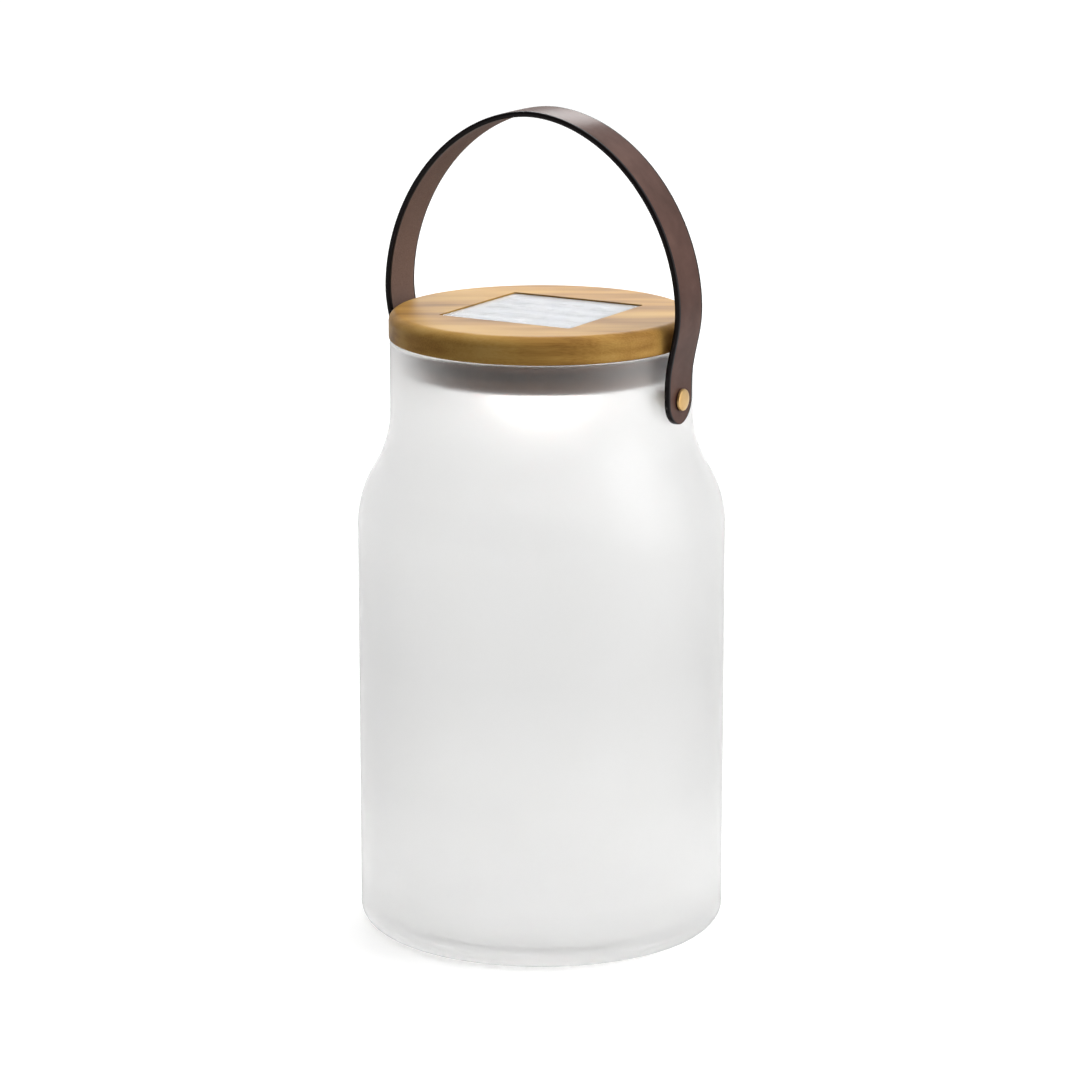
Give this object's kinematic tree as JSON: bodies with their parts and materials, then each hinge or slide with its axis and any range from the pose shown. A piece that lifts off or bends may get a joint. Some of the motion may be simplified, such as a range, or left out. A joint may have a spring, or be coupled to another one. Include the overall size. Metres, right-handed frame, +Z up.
{
  "type": "mason jar lantern",
  "caption": "Solar lantern in a frosted glass jar with a wooden stopper lid, a light under the lid and a leather strap handle that swings on brass studs.",
  "frame": {"origin": "centre of the circle that the jar stands on, at the level of the surface under it", "axes": "+Z up along the jar's axis; X along the line through the two studs that the handle turns on; Y across the upright strap"},
  "size_m": [0.165, 0.165, 0.3708],
  "materials": {
    "frosted_glass": "acid-frosted outside, smooth inside",
    "bamboo": "satin lacquered laminated bamboo",
    "leather": "dark brown with black painted edges",
    "brass": "polished",
    "nylon": "moulded natural nylon",
    "silicone": "dark brown, matt",
    "plug_plastic": "moulded with a fine texture",
    "white_plastic": "moulded satin",
    "diffuser": "milky translucent",
    "solar_cell": "polycrystalline silicon with silver lines",
    "clear_cover": "glossy clear",
    "circuit_board": "green solder mask",
    "steel": "zinc plated",
    "battery_sleeve": "shrink sleeve with a bare steel end",
    "led_lens": "clear epoxy with a warm phosphor",
    "black_plastic": "moulded",
    "red_wire": "insulated wire",
    "black_wire": "insulated wire"
  },
  "bodies": {
    "jar": {"glass_jar": "frosted_glass", "left_cap_nut": "nylon", "left_grommet": "nylon", "left_stud": "brass", "left_washer": "nylon", "right_cap_nut": "nylon", "right_grommet": "nylon", "right_stud": "brass", "right_washer": "nylon"},
    "handle": {"handle_strap": "leather", "left_eyelet": "brass", "right_eyelet": "brass"},
    "lid": {"battery_cell": "battery_sleeve", "battery_holder": "black_plastic", "battery_wire_black": "black_wire", "battery_wire_red": "red_wire", "board_screw_1": "steel", "board_screw_2": "steel", "charge_board": "circuit_board", "charge_chip": "black_plastic", "contact_plate": "steel", "contact_spring": "steel", "diffuser_dome": "diffuser", "led_1": "led_lens", "led_2": "led_lens", "led_3": "led_lens", "led_4": "led_lens", "led_board": "circuit_board", "led_wire_black": "black_wire", "led_wire_red": "red_wire", "lens_ring": "white_plastic", "lid_screw_1": "steel", "lid_screw_2": "steel", "lid_screw_3": "steel", "lid_screw_4": "steel", "panel_wire_black": "black_wire", "panel_wire_red": "red_wire", "plug_housing": "plug_plastic", "plug_seal": "silicone", "reflector": "white_plastic", "ring_nut_1": "steel", "ring_nut_2": "steel", "ring_nut_3": "steel", "ring_screw_1": "steel", "ring_screw_2": "steel", "ring_screw_3": "steel", "solar_backing": "white_plastic", "solar_cell_1": "solar_cell", "solar_cell_2": "solar_cell", "solar_cell_3": "solar_cell", "solar_cell_4": "solar_cell", "solar_cover": "clear_cover", "switch_body": "black_plastic", "wooden_lid": "bamboo"},
    "switch": {"power_switch": "white_plastic"}
  },
  "joints": [
    {"name": "handle_swing", "type": "hinge", "parent": "jar", "child": "handle", "pos_m": [0, 0, 0.2476], "axis": [1, 0, 0], "range_deg": [-128, 128]},
    {"name": "lid_lift", "type": "slide", "parent": "jar", "child": "lid", "axis": [0, 0, 1], "range_m": [0, 0.03]},
    {"name": "switch_slide", "type": "slide", "parent": "lid", "child": "switch", "axis": [1, 0, 0], "range_m": [0, 0.004]}
  ]
}
